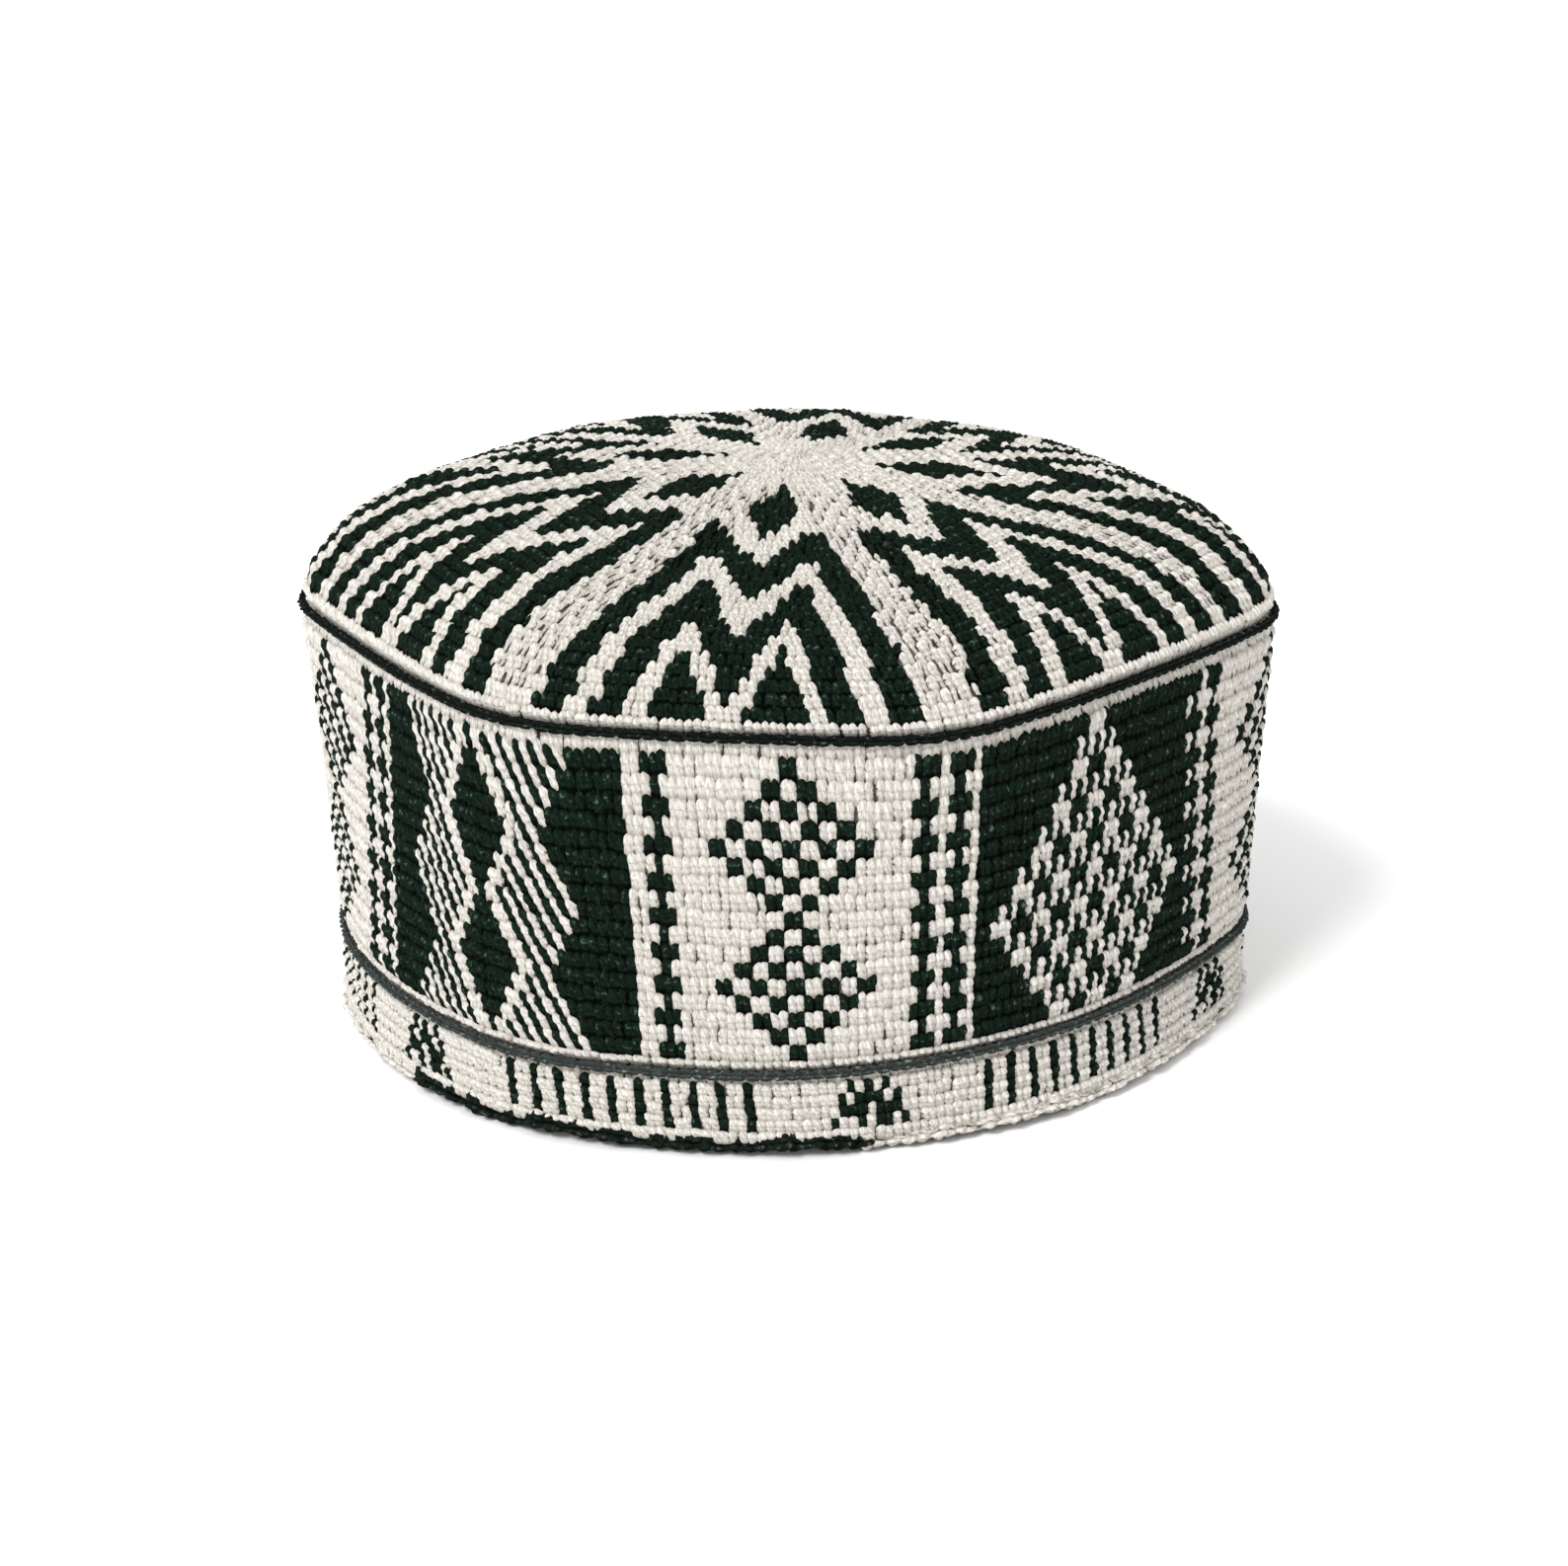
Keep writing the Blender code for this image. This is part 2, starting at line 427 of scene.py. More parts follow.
# A small figure of the rim, G for green
FIGURE = (
    "..G.G.G..",
    ".G.GGG.G.",
    ".GGG.GGG.",
    "G..G.GG.G",
)
FIRST_STRIPE, LAST_STRIPE = 18, 45      # stitches of the rim's repeat
STRIPE_STEP = 3


def rim_colour(r, i):
    """Colour of a rim stitch: a small figure, then ten upright stripes. None of them slants."""
    i %= RIM_REPEAT
    if not 1 <= r <= len(FIGURE):
        return CREAM, 0
    if i < len(FIGURE[0]):
        return (GREEN if FIGURE[r - 1][i] == "G" else CREAM), 0
    striped = FIRST_STRIPE <= i <= LAST_STRIPE and i % STRIPE_STEP == 0
    return (GREEN if striped else CREAM), 0


# Stitches as meshes

ACROSS = np.linspace(-1, 1, 5)
# One stitch from its foot to its head, which lies over the foot of the stitch above.
# Columns: share of its length, width, height over the cloth
PROFILE = np.array((
    (0.00, 0.76, -0.05),
    (0.24, 0.98, 0.40),
    (0.44, 0.92, 0.36),
    (0.68, 1.08, 1.00),
    (0.89, 0.72, 0.88),
    (1.00, 0.22, 0.25),
))
ALONG = PROFILE[:, 0]
FOOT_TUCK = 0.06            # share of its height by which a stitch reaches under the one below
HATCH_LEAN = 0.85           # lean of the stitches in slanted hatching
# How unevenly the yarn is worked, in shares of a stitch
UNEVEN = {"lean": 0.13, "width": 0.07, "place": 0.08, "rise": 0.035, "height": 0.07}

GROUND_DEPTH = 0.0007       # depth of the ground cloth's outer face under the sheet
GROUND_YARN = 2.2           # yarn coordinate that marks this face, which is painted nearly black as shade between the stitches
EDGE_YARN = 0.3
NEARBY = (0, 1, -1, 2, -2, 3, -3)       # half stitches in which a face looks for its yarn

SPOKE_STITCHES = 4          # open stitches on each side of a spoke of the crown
SPOKE_ROUNDS = range(2, 28)
SPOKE_FULLNESS = 0.45
SECTOR_POINTS = 13          # points at which a round is measured across a sector

# Turns in degrees that bring the stitches of the side to where the photo has them
RIGHT_TURNS = (5, 3)
LEFT_TURNS = (4.2, -4.5)


class Loops:
    """Settings of one kind of stitch.

    relief is its height over the cloth and sink its depth in it. plump is its width, head
    how far it reaches over the next row and rough how uneven it is.
    """

    def __init__(self, relief, sink=0.0004, plump=1.27, lean=0.16, rough=1.45, head=0.26):
        self.relief, self.sink, self.plump = relief, sink, plump
        self.lean, self.rough, self.head = lean, rough, head


def stitch_points(sheet, units, loops, rng):
    """Points and yarn coordinates of many stitches.

    units has one row a stitch: middle angle, width in degrees, foot share, height share, lean
    and fullness.
    """
    count = len(units)
    u, v = np.meshgrid(ACROSS, ALONG)
    u, v = u.ravel()[None], v.ravel()[None]
    angle, width, foot, tall, lean, full = (units[:, k, None] for k in range(6))
    level = np.repeat(np.arange(len(ALONG)), len(ACROSS))
    wide, high = PROFILE[level, 1][None], PROFILE[level, 2][None]

    def jitter(what):
        return rng.normal(0, UNEVEN[what] * loops.rough, (count, 1))

    slant = (loops.lean + lean + jitter("lean")) * (0.5 - v)
    girth = u * wide * loops.plump / 2 * full * (1 + jitter("width"))
    sway = girth + slant + jitter("place")
    rise = v * (1 + FOOT_TUCK + loops.head) - FOOT_TUCK + jitter("rise")
    crest = np.cos(u * pi / 2) ** 0.5 * high
    raised = (loops.relief + loops.sink) * crest * full ** 0.5 * (1 + jitter("height"))
    points = sheet.at(angle + width * sway, foot + tall * rise, raised - loops.sink)
    seed = rng.random((count, 1)) * np.ones_like(u)
    yarn = np.stack([u * np.ones((count, 1)), v * np.ones((count, 1)), seed], -1)
    return points.reshape(-1, 3), yarn.reshape(-1, 3)


def stitch_faces(count):
    """Quads of many stitches, each a grid of ALONG by ACROSS."""
    n, m = len(ACROSS), len(ALONG)
    i = np.arange((m - 1) * (n - 1))
    corner = i // (n - 1) * n + i % (n - 1)
    quad = np.stack([corner, corner + 1, corner + n + 1, corner + n], -1)
    return (quad[None] + (np.arange(count) * n * m)[:, None, None]).reshape(-1, 4)


def cell_map(count):
    """A place of its own in the bake for each stitch, with a margin round it."""
    margin = 0.1
    columns = ceil(count ** 0.5 * 1.4)
    rows = ceil(count / columns)
    k = np.arange(count)[:, None]
    u, v = np.meshgrid((ACROSS + 1) / 2, ALONG)
    u = (k % columns + margin + (1 - 2 * margin) * u.ravel()) / columns
    v = (k // columns + margin + (1 - 2 * margin) * v.ravel()) / rows
    return np.stack([u, v], -1).reshape(-1, 2)


def mesh_object(name, points, faces, yarn, flat, finishes, picks=None):
    """A piece from its points and quads. flat is its bake map, one place for each point.

    yarn has one row for each point, or one for each corner of each quad.
    """
    data = bpy.data.meshes.new(name)
    data.vertices.add(len(points))
    data.vertices.foreach_set("co", points.astype(np.float32).ravel())
    data.loops.add(faces.size)
    data.loops.foreach_set("vertex_index", faces.astype(np.int32).ravel())
    data.polygons.add(len(faces))
    data.polygons.foreach_set("loop_start", np.arange(len(faces), dtype=np.int32) * 4)
    data.update(calc_edges=True)
    domain = "CORNER" if len(yarn) == faces.size else "POINT"
    grain = data.attributes.new("yarn", "FLOAT_VECTOR", domain)
    grain.data.foreach_set("vector", yarn.astype(np.float32).ravel())
    layer = data.uv_layers.new(name="OFBake")
    layer.uv.foreach_set("vector", flat[faces.ravel()].astype(np.float32).ravel())
    for finish in finishes:
        data.materials.append(finish)
    if picks is not None:
        data.polygons.foreach_set("material_index", picks.astype(np.int32))
    data.polygons.foreach_set("use_smooth", np.ones(len(faces), bool))
    data.validate()
    piece = bpy.data.objects.new(name, data)
    bpy.context.scene.collection.objects.link(piece)
    return piece


def worn(piece, slot, *nodes):
    """Makes a piece move with the hat, hiding the given solids. slot is not used."""
    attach(piece, "root")
    if nodes:
        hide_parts(*nodes)
    return piece


def turned(angle):
    """The angle at which a stitch comes to lie: at the front they are a little wider."""
    s = sin(radians(angle))
    if s > 0:
        return angle + (RIGHT_TURNS[0] * s + RIGHT_TURNS[1] * s ** 3)
    return angle + (LEFT_TURNS[0] * s + LEFT_TURNS[1] * s * s)


def round_units(edges, per_row, colour_of, lie=float):
    """Stitch units of whole rounds counted from the top row down, with their colours.

    edges holds the edges of the rows as shares of the way down, per_row gives a row's stitches
    and the angle of its first one, and lie turns an angle of the chart into one of the hat.
    """
    units, colours = [], []
    for r, (top, foot) in enumerate(zip(edges, edges[1:])):
        count, start = per_row(r)
        for i in range(count):
            colour, hatched = colour_of(r, i)
            left, right = lie(start + i * 360 / count), lie(start + (i + 1) * 360 / count)
            middle, width = (left + right) / 2, right - left
            units.append((middle, width, 1 - foot, foot - top, HATCH_LEAN * hatched, 1.0))
            colours.append(colour)
    return np.array(units), np.array(colours)


def side_edges():
    """Edges of the side's rows, as shares of the way down."""
    r = np.arange(SIDE_ROWS - 1)
    patterned = TOP_ROW + ROW_HEIGHT * r + STRETCH * (1 - np.exp(-r / STRETCH_ROWS))
    return [0.0, *patterned, 1.0]


def rim_edges():
    """Edges of the rim's rows, which are all as tall."""
    return np.linspace(0, 1, RIM_ROWS + 1)


def side_units():
    """The side's stitches: each round lies a little to the right of the one above."""
    return round_units(side_edges(), lambda r: (ROUND, FIRST_PANEL + SIDE_SHIFT * r), side_colour, turned)


def rim_units():
    """The rim's stitches."""
    return round_units(rim_edges(), lambda r: (RIM_ROUND, RIM_FIGURE + RIM_SHIFT * r), rim_colour)


def crown_units(sheet):
    """Rounds of the crown from the seam in, with as many stitches as each sector has room for."""
    units, colours = [], []
    stitch = 2 * pi * RING_RADIUS / ROUND
    sector_turn = 360 / SECTORS
    for r in range(CROWN_ROWS):
        foot = r / CROWN_ROWS
        half_way = np.full(SECTOR_POINTS, foot + 0.5 / CROWN_ROWS)
        for sector in range(SECTORS):
            middle = SECTOR_CENTRE + sector * sector_turn
            line = sheet.at(middle + np.linspace(-0.5, 0.5, SECTOR_POINTS) * sector_turn, half_way)
            length = np.linalg.norm(np.diff(line, axis=0), axis=-1).sum()
            wide = max(1, round(length / stitch))
            step = sector_turn / wide
            for i in range(wide):
                t = i - (wide - 1) / 2
                # Small holes run up the plain spoke between two sectors
                inward = int(wide / 2 - abs(t))
                open_work = inward < SPOKE_STITCHES and (r + inward) % 2 == 0 and r in SPOKE_ROUNDS
                fullness = SPOKE_FULLNESS if open_work else 1.0
                units.append((middle + t * step, step, foot, 1 / CROWN_ROWS, 0.0, fullness))
                colours.append(crown_colour(r, t))
    return np.array(units), np.array(colours)


def worked(name, sheet, units, colours, loops, finishes, slot, seed):
    """The stitches of one part of the hat, a piece for each yarn."""
    points, yarn = stitch_points(sheet, units, loops, np.random.default_rng(seed))
    each = len(ACROSS) * len(ALONG)
    points, yarn = points.reshape(-1, each, 3), yarn.reshape(-1, each, 3)
    for colour, suffix in ((CREAM, "cream"), (GREEN, "green")):
        mine = colours == colour
        count = int(mine.sum())
        piece = mesh_object(
            f"{name}_{suffix}", points[mine].reshape(-1, 3), stitch_faces(count),
            yarn[mine].reshape(-1, 3), cell_map(count), [finishes[colour]])
        worn(piece, slot)


def ground_picks(units, level_of, colours, turns, column, row):
    """The yarn of each face of the ground: that of the stitch which lies nearest in its row."""
    found = {}
    for (middle, *_), level, colour in zip(units, level_of, colours):
        found[(int(((middle + 180) % 360) / 360 * 2 * turns), level)] = colour
    picks = np.zeros(len(column), int)
    for k, (cell, level) in enumerate(zip(2 * column + 1, row)):
        near = (found.get(((cell + step) % (2 * turns), level)) for step in NEARBY)
        picks[k] = next((colour for colour in near if colour is not None), CREAM)
    return picks


def ground(name, sheet, units, colours, edges, turns, finishes, slot, nodes):
    """The cloth behind the stitches: an outer face in their yarns, painted nearly black as shade between
    them, a lining and edges.

    edges holds the edges of the rows as shares of the way up.
    """
    rows = len(edges) - 1
    angle, share = np.meshgrid(np.linspace(-180, 180, turns + 1), edges, indexing="ij")
    outer = sheet.at(angle, share, np.full(angle.shape, -GROUND_DEPTH))
    inner = sheet.at(angle, share, np.full(angle.shape, -CLOTH))
    points = np.concatenate([outer, inner[:, ::-1]], axis=1)
    n = points.shape[1]
    i, j = (k.ravel() for k in np.meshgrid(np.arange(turns), np.arange(n), indexing="ij"))
    after = (j + 1) % n
    faces = np.stack([i * n + j, (i + 1) * n + j, (i + 1) * n + after, i * n + after], -1)
    # The lining shows the same rows from behind
    row = np.clip(np.where(j < rows, j, n - 2 - j), 0, rows - 1)
    level_of = np.abs(units[:, 2, None] - np.asarray(edges)[None]).argmin(1)
    picks = ground_picks(units, level_of, colours, turns, i, row)
    # On the lining each stitch is drawn over as many faces as it is wide
    counts = np.bincount(level_of, minlength=rows)
    wide = np.maximum(1, np.round(turns / counts)).astype(int)[row]
    left = 2 * (i % wide) / wide - 1
    right = left + 2 / wide
    yarn = np.zeros((len(faces), 4, 3))
    # The outer face is marked to be painted nearly black, as shade between the stitches
    yarn[..., 0] = np.where(j < rows, GROUND_YARN, EDGE_YARN)[:, None]
    yarn[..., 1] = 0.5
    lining = (j > rows) & (j < n - 1)
    yarn[lining, :, 0] = np.stack([left, right, right, left], -1)[lining]
    yarn[lining, :, 1] = (1, 1, 0, 0)
    yarn[..., 2] = np.random.default_rng(5).random((rows, turns))[row, i // wide][:, None]
    u = (angle + 180) / 360
    v = np.broadcast_to(np.linspace(0.01, 0.99, n), (turns + 1, n))
    flat = np.stack([np.concatenate([u, u], 1), v], -1)
    piece = mesh_object(
        name, points.reshape(-1, 3), faces, yarn.reshape(-1, 3), flat.reshape(-1, 2), finishes, picks)
    return worn(piece, slot, *nodes)


def part(name, sheet, stitches, edges, turns, slot, node, seed):
    """One part of the hat: its stitches in both yarns and the ground behind them."""
    units, colours = stitches
    finishes = yarns()[:2]
    loops = Loops(bpy.context.scene.kufi_sizes.relief)
    worked(name, sheet, units, colours, loops, finishes, slot, seed)
    ground(f"{name}_ground", sheet, units, colours, edges, turns, finishes, slot, (node,))


def tube_units(rows, count, first, last, leans):
    """Units of a braid that covers part of a tube's girth, shares counted from its inside."""
    units = []
    step = (last - first) / rows
    for r in range(rows):
        for i in range(count):
            angle = (i + 0.5 * (r % 2)) * 360 / count
            units.append((angle, 360 / count, first + r * step, step, leans[r % len(leans)], 1.0))
    return np.array(units)


def braid(name, sheet, units, loops, finish, slot, nodes, seed):
    """A strand braided from short loops, as one piece."""
    points, yarn = stitch_points(sheet, units, loops, np.random.default_rng(seed))
    piece = mesh_object(
        name, points, stitch_faces(len(units)), yarn, cell_map(len(units)), [finish])
    return worn(piece, slot, *nodes)


# Materials

# The fleck colours serve lighter fibres and also a painted highlight on the heads of the loops. The
# colours for holes and the grey cord's shade colour are painted shade
CREAM_FLECK_AND_GLINT = (0.95, 0.93, 0.88)
CREAM_HOLE_SHADE = (0.02, 0.017, 0.013)
GREEN_FLECK_AND_GLINT = (0.09, 0.14, 0.11)
DARK_HOLE_SHADE = (0.0004, 0.0007, 0.0005)
CORD_YARN = (0.014, 0.022, 0.017)
CORD_FLECK_AND_GLINT = (0.10, 0.12, 0.10)
GREY_PAINTED_SHADE = (0.010, 0.014, 0.012)
GREY_FLECK_AND_GLINT = (0.22, 0.27, 0.23)
YARN_BUMP = 0.00018         # how deep the plies and fibres are
FIBRE_SEED = 57             # these two give each stitch fibres and plies of its own
PLY_SEED = 40


class Value:
    """A socket that can be used in sums."""

    def __init__(self, look, socket):
        self.look, self.socket = look, socket

    def maths(self, operation, *values):
        made = self.look.node("ShaderNodeMath", {"operation": operation}, *values)
        return Value(self.look, made.outputs[0])

    def __add__(self, other):
        return self.maths("ADD", self, other)

    def __radd__(self, other):
        return self.maths("ADD", other, self)

    def __sub__(self, other):
        return self.maths("SUBTRACT", self, other)

    def __rsub__(self, other):
        return self.maths("SUBTRACT", other, self)

    def __mul__(self, other):
        return self.maths("MULTIPLY", self, other)

    def __rmul__(self, other):
        return self.maths("MULTIPLY", other, self)

    def sine(self):
        return self.maths("SINE", self)

    def size(self):
        return self.maths("ABSOLUTE", self)

    def above(self, low, high):
        """0 below low, 1 above high, smooth between."""
        made = self.look.node(
            "ShaderNodeMapRange", {"interpolation_type": "SMOOTHSTEP"},
            **{"Value": self, "From Min": low, "From Max": high})
        return Value(self.look, made.outputs["Result"])


class Look:
    """A material and the nodes in it."""

    def __init__(self, name, **constants):
        self.material = bpy.data.materials.new(name)
        self.material.use_nodes = True
        self.tree = self.material.node_tree
        self.shader = self.tree.nodes["Principled BSDF"]
        for socket, value in constants.items():
            self.shader.inputs[socket.replace("_", " ")].default_value = value

    def node(self, kind, settings=None, *values, **sockets):
        """A node with its settings and its sockets, given in order or by name."""
        made = self.tree.nodes.new(kind)
        for key, value in (settings or {}).items():
            setattr(made, key, value)
        for key, value in list(enumerate(values)) + list(sockets.items()):
            socket = made.inputs[key]
            if isinstance(value, Value):
                self.tree.links.new(value.socket, socket)
            else:
                socket.default_value = value
        return made

    def attribute(self, name):
        """The three parts of an attribute of the mesh."""
        made = self.node("ShaderNodeAttribute", {"attribute_name": name})
        parts = self.node("ShaderNodeSeparateXYZ", None, Value(self, made.outputs["Vector"]))
        return [Value(self, parts.outputs[k]) for k in range(3)]

    def vector(self, x, y, z):
        return Value(self, self.node("ShaderNodeCombineXYZ", None, x, y, z).outputs[0])

    def noise(self, vector, scale, detail=2.0, roughness=0.5):
        made = self.node(
            "ShaderNodeTexNoise", None,
            Vector=vector, Scale=scale, Detail=detail, Roughness=roughness)
        return Value(self, made.outputs[0])

    def place(self):
        return Value(self, self.node("ShaderNodeTexCoord").outputs["Object"])

    def mix(self, share, first, second):
        """Two colours mixed. Sockets 0, 6 and 7 are the factor and the colours of a Mix node."""
        made = self.node("ShaderNodeMix", {"data_type": "RGBA"})
        for key, value in ((0, share), (6, first), (7, second)):
            if isinstance(value, Value):
                self.tree.links.new(value.socket, made.inputs[key])
            else:
                made.inputs[key].default_value = (*value, 1)
        return Value(self, made.outputs[2])

    def feed(self, name, value):
        self.tree.links.new(value.socket, self.shader.inputs[name])

    def bump(self, height, distance):
        made = self.node("ShaderNodeBump", None, Height=height, Distance=distance, Strength=1.0)
        self.feed("Normal", Value(self, made.outputs[0]))


def yarn_look(name, light, shade_colour, fleck_and_glint, fleck_and_glint_share, shade_strength, sheen, shine, hole_shade_colour):
    """Worked cotton yarn: plies along each stitch, fine fibres, and shade painted where stitches meet.

    Its shade strength sets how dark shade is painted on the sides and foot of a stitch, and its
    hole colour is the shade painted in the holes between stitches and on the ground. The yarn
    attribute holds the place across a stitch (-1 to 1, or GROUND_YARN), the place along it and a
    random number of its own.
    """
    look = Look(name, Roughness=0.88, Sheen_Weight=sheen, Sheen_Roughness=0.4, Specular_IOR_Level=shine)
    x, y, seed = look.attribute("yarn")
    aside = x.size()
    twist = (x * 5.2 + y * 7.5 + seed * PLY_SEED).sine()
    fibres = look.noise(look.vector(x * 5.0, y * 1.6, seed * FIBRE_SEED), 2.2, 3.0, 0.65)
    tone = look.noise(look.place(), 900.0, 2.0, 0.6)
    # Fibres and plies run between the light colour and the shade colour: partly the yarn's own uneven
    # tone, partly painted shade between the plies. Each stitch is a little darker at random
    body = look.mix(fibres.above(0.2, 0.72) * 0.85 + twist * 0.12 - seed * 0.08, shade_colour, light)
    # Painted shade at the sides, at the foot, on the thin line where a head ends on the row above
    # and in the small V where the two legs of a loop meet
    side, foot = aside.above(0.62, 1.15), 1 - y.above(0.20, 0.38)
    rim = y.above(0.90, 0.99)
    crossing = 1 - (y - 0.56 + aside * 0.1).size().above(0.0, 0.08)
    shade = side * shade_strength * 0.6 + foot * shade_strength * 1.7 + rim * 0.55 + crossing * 0.25
    body = look.mix(shade, body, shade_colour)
    # Painted shade, darkest, in the holes between four stitches, in the eye of the loop and on the
    # ground's outer face. Only some of the holes and eyes are open
    hole = aside.above(0.4, 0.85) * (1 - y.above(0.26, 0.40)) * (0.25 + 0.7 * seed.above(0.5, 0.8))
    eye = aside.above(0.55, 0.8) * (1 - (y - 0.6).size().above(0.02, 0.08)) * seed.above(0.3, 0.8)
    body = look.mix(hole + eye * 0.85 + x.above(1.5, 2.0) * 0.9, body, hole_shade_colour)
    # Lighter fibres at random, and far more on the head of the loop: there a painted highlight of
    # fibres that catch the light
    head = (1 - (y - 0.74).size().above(0.02, 0.2)) * (1 - aside.above(0.2, 0.8))
    body = look.mix(tone.above(0.55, 0.72) * fleck_and_glint_share * (1 + head * 5), body, fleck_and_glint)
    look.feed("Base Color", body)
    look.bump(twist * 0.5 + fibres * 1.4 + tone * 0.8 - crossing, YARN_BUMP)


def floor_look():
    """Pale paper with a faint grain."""
    look = Look("pale_paper", Roughness=0.9)
    grain = look.noise(look.place(), 60.0, 3.0)
    look.feed("Base Color", look.mix(grain, (0.94, 0.94, 0.94), (0.96, 0.96, 0.96)))
    return look.material


def yarns():
    """The four finishes, made once: cream, green, dark cord and grey cord."""
    names = ("cream_yarn", "green_yarn", "cord_yarn", "grey_yarn")
    if names[0] not in bpy.data.materials:
        tints = bpy.context.scene.kufi_yarns
        # The green's shade colour, painted as shade on the green yarn and on the dark cord
        dark = tuple(tints.green_painted_shade)
        yarn_look(
            names[0], tuple(tints.cream), tuple(tints.cream_painted_shade), CREAM_FLECK_AND_GLINT,
            fleck_and_glint_share=0.1, shade_strength=0.36, sheen=0.1, shine=0.12, hole_shade_colour=CREAM_HOLE_SHADE)
        yarn_look(
            names[1], tuple(tints.green), dark, GREEN_FLECK_AND_GLINT,
            fleck_and_glint_share=0.15, shade_strength=1.1, sheen=0.0, shine=0.04, hole_shade_colour=DARK_HOLE_SHADE)
        yarn_look(
            names[2], CORD_YARN, dark, CORD_FLECK_AND_GLINT,
            fleck_and_glint_share=0.2, shade_strength=0.8, sheen=0.0, shine=0.05, hole_shade_colour=DARK_HOLE_SHADE)
        yarn_look(
            names[3], tuple(tints.grey), GREY_PAINTED_SHADE, GREY_FLECK_AND_GLINT,
            fleck_and_glint_share=0.3, shade_strength=0.7, sheen=0.05, shine=0.1, hole_shade_colour=DARK_HOLE_SHADE)
    return [bpy.data.materials[name] for name in names]


# The cords, the hem and the stage

CORD_STITCHES = 230         # loops in each row of a cord
CORD_SPAN = (0.10, 0.90)    # part of a cord's girth that they cover
CORD_LEANS = (1.1, -1.1)    # lean of the loops, row by row
CORD_SINK = 0.0003          # by how much the tube under the loops is thinner
TOP_CORD_SHARE = 0.72       # the cords' thickness, against the set radius
LOWER_CORD_SHARE = 0.76

HEM_STITCHES = 200
HEM_SPAN = (0.02, 0.98)
HEM_LEANS = (0.6, -0.6)
HEM_DARK = (-52, 10)        # angles between which the hem is worked in dark yarn
HEM_RADIUS = 0.0014
HEM_INSET = 0.0006          # how far the strand's middle lies inside the foot of the wall
# Waves along the strand. Columns: size, number of waves in a round, shift
HEM_KNOTS = ((0.5, 112, 0), (0.4, 71, 1), (0.4, 37, 2))
HEM_WANDER = ((0.6, 13, 1), (0.4, 23, 0))

FLOOR_REACH = 30.0          # from the middle of the floor to its edges
SKY_STRENGTH = 0.96
# Columns: name, place that it shines from, strength, softness in degrees
LAMPS = (
    ("key", (-0.60, -0.82, 1.05), 2.6, 20),
    ("fill", (1.0, -0.7, 0.45), 0.1, 60),
)
LENS, SENSOR = 74.0, 36.0   # millimetres
# The same lens in the photo's pixels, with the picture's middle and the seam's middle in it
LENS_PIXELS = 3266
PICTURE_MIDDLE = (794, 793)
SEAM_MIDDLE = (791.7, 608.1)


def colour_prop(name, text, default):
    return bpy.props.FloatVectorProperty(
        name=name, description=text, subtype="COLOR", size=3, min=0, max=1, default=default)


class KufiYarns(bpy.types.PropertyGroup):
    """Colours of the yarns, and of the shade painted on them."""

    cream: colour_prop("Cream", "Main yarn of the figures", (0.95, 0.935, 0.895))
    # Painted shade: the colour for the shade between the plies and on the sides and feet of the cream
    # stitches
    cream_painted_shade: colour_prop("Cream shade", "Cream yarn between its plies", (0.36, 0.32, 0.26))
    green: colour_prop("Green", "Dark yarn of the figures", (0.0105, 0.0250, 0.0150))
    # Painted shade: the colour for the shade between the plies and on the sides and feet of the green
    # stitches and the dark cord
    green_painted_shade: colour_prop("Green shade", "Dark yarn between its plies", (0.0006, 0.0016, 0.0010))
    grey: colour_prop("Grey green", "Lower cord", (0.072, 0.086, 0.079))


class KufiSizes(bpy.types.PropertyGroup):
    """Sizes of the stitches and places of the camera."""

    relief: bpy.props.FloatProperty(
        name="Relief", description="How proud a stitch stands", default=0.00064, unit="LENGTH")
    cord: bpy.props.FloatProperty(
        name="Cord radius", description="Radius of the raised cords", default=0.0014, unit="LENGTH")
    camera_distance: bpy.props.FloatProperty(
        name="Camera distance", description="From the camera to the upper seam's middle",
        default=0.70, unit="LENGTH")
    camera_lift: bpy.props.FloatProperty(
        name="Camera elevation", description="How far the camera stands above the seam",
        default=radians(15.25), subtype="ANGLE")


class WorkCrown(bpy.types.Operator):
    """Works the crown in rounds from the upper seam to the middle"""

    bl_idname = "kufi.crown"
    bl_label = "Crown"

    def execute(self, context):
        sheet = crown_sheet()
        edges = np.linspace(0, 1, CROWN_ROWS + 1)
        part("crown", sheet, crown_units(sheet), edges, ROUND, "cream_crochet", "crown", 11)
        return {"FINISHED"}


class WorkSide(bpy.types.Operator):
    """Works the patterned side band between the two cords"""

    bl_idname = "kufi.side"
    bl_label = "Side band"

    def execute(self, context):
        low, high = lower_seam(), np.full(len(ANGLES), UPPER_SEAM_Z)
        sheet = wall_sheet(low, high, (low, high))
        edges = 1 - np.array(side_edges())[::-1]
        part("side", sheet, side_units(), edges, ROUND, "panel_crochet", "side_band", 12)
        return {"FINISHED"}


class WorkRim(bpy.types.Operator):
    """Works the striped rim below the lower cord"""

    bl_idname = "kufi.rim"
    bl_label = "Rim"

    def execute(self, context):
        # The rim reaches a little way into the hem
        low, high = np.full(len(ANGLES), HEM_HEIGHT * 0.8), lower_seam()
        sheet = wall_sheet(low, high, (high,))
        part("rim", sheet, rim_units(), rim_edges(), RIM_ROUND, "striped_crochet", "lower_band", 13)
        return {"FINISHED"}


